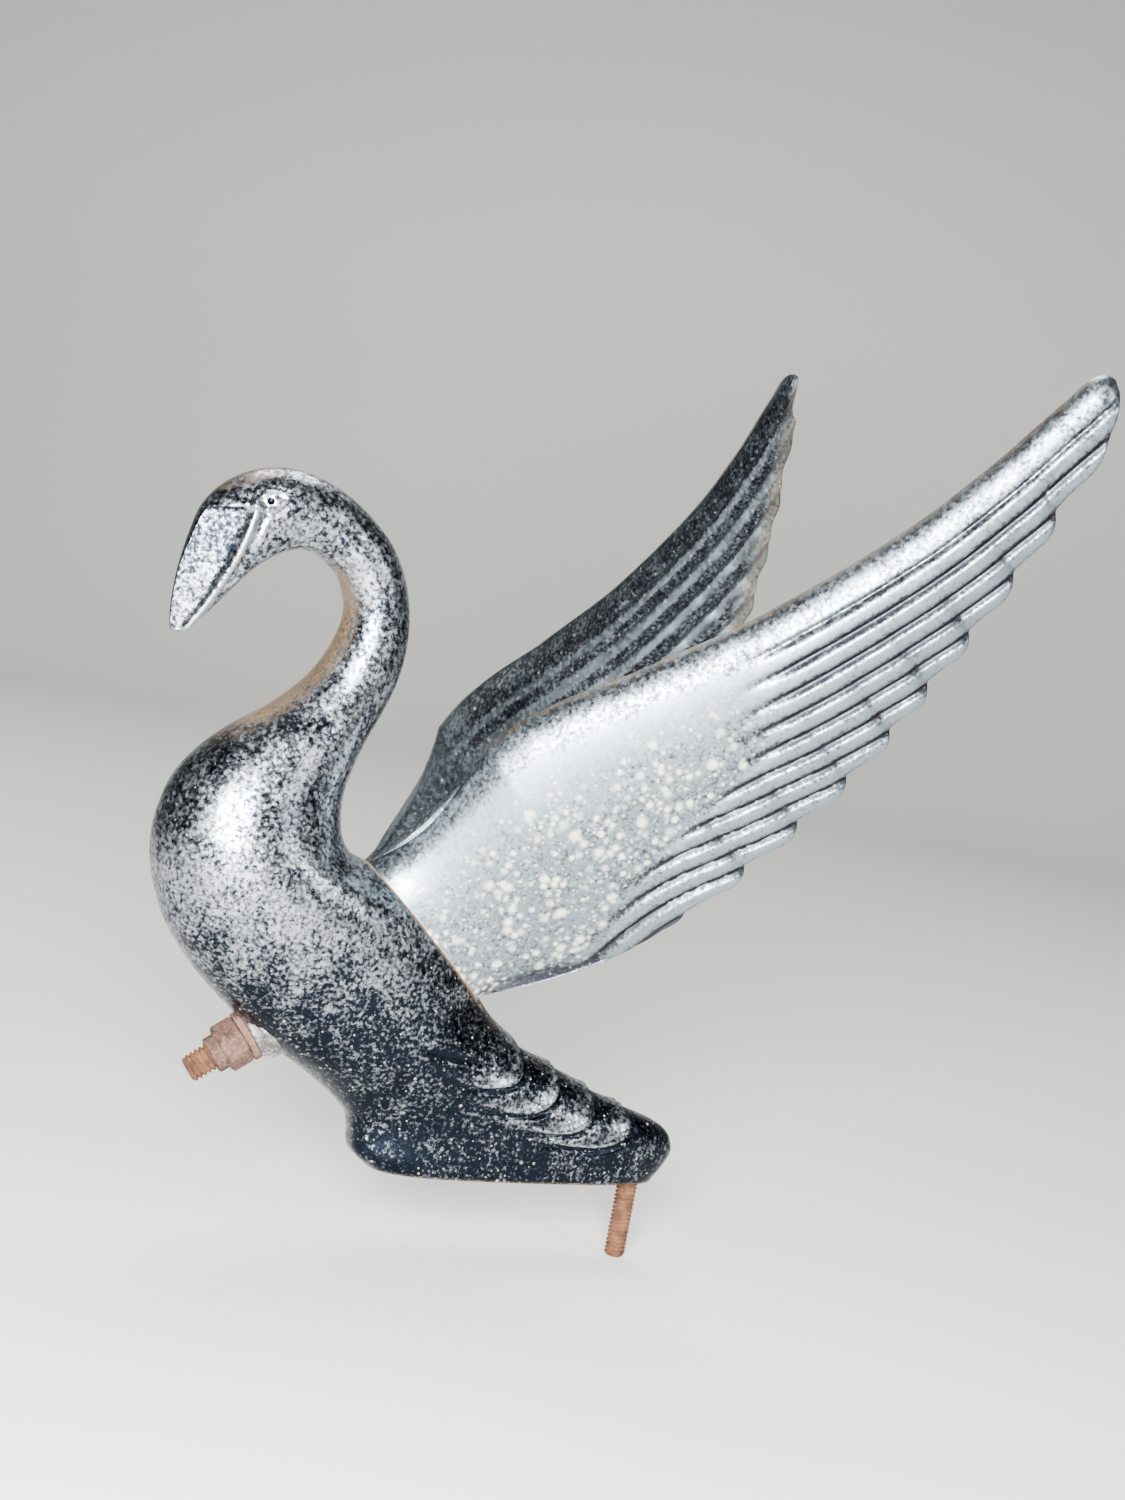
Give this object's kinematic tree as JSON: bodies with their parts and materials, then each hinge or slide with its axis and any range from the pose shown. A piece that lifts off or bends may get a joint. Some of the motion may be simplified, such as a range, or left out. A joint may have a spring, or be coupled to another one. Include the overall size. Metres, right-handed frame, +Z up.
{
  "type": "hood ornament",
  "caption": "Chromed cast hood ornament in the form of a swan in flight, with a separate raised-wing casting clamped on by a stud and nut, and a mounting stud under the tail.",
  "frame": {"origin": "on the rear mounting stud's axis, where it leaves the plane of the foot", "axes": "+Z up, the bird flies towards -X, the XZ plane is its plane of symmetry"},
  "size_m": [0.2224, 0.1826, 0.2807],
  "materials": {
    "body_plating": "chrome plating over cast zinc alloy, pitted and hazed with age",
    "wing_plating": "chrome plating over cast zinc alloy, pitted and hazed with age",
    "rusted_stud": "plain steel thread with dry light-brown rust",
    "rusted_washer": "spring steel with pale brown rust and old plating",
    "rusted_nut": "plain steel with light-brown rust, worn paler on the collar"
  },
  "bodies": {
    "castings": {"body_casting": "body_plating", "wing_casting": "wing_plating", "wing_stud": "rusted_stud", "rear_stud": "rusted_stud"},
    "washer": {"lock_washer": "rusted_washer"},
    "nut": {"hex_nut": "rusted_nut"}
  },
  "joints": [
    {"name": "washer_slide", "type": "slide", "parent": "castings", "child": "washer", "axis": [-0.7997, 0, -0.6004], "range_m": [0, 0.01411]},
    {"name": "nut_turn", "type": "hinge", "parent": "washer", "child": "nut", "pos_m": [-0.12948, 0, 0.03297], "axis": [-0.7997, 0, -0.6004], "range_deg": [0, 3600]}
  ],
  "couplings": [
    {"joint": "washer_slide", "follows": "nut_turn", "m_per_rad": 0.00022441}
  ]
}
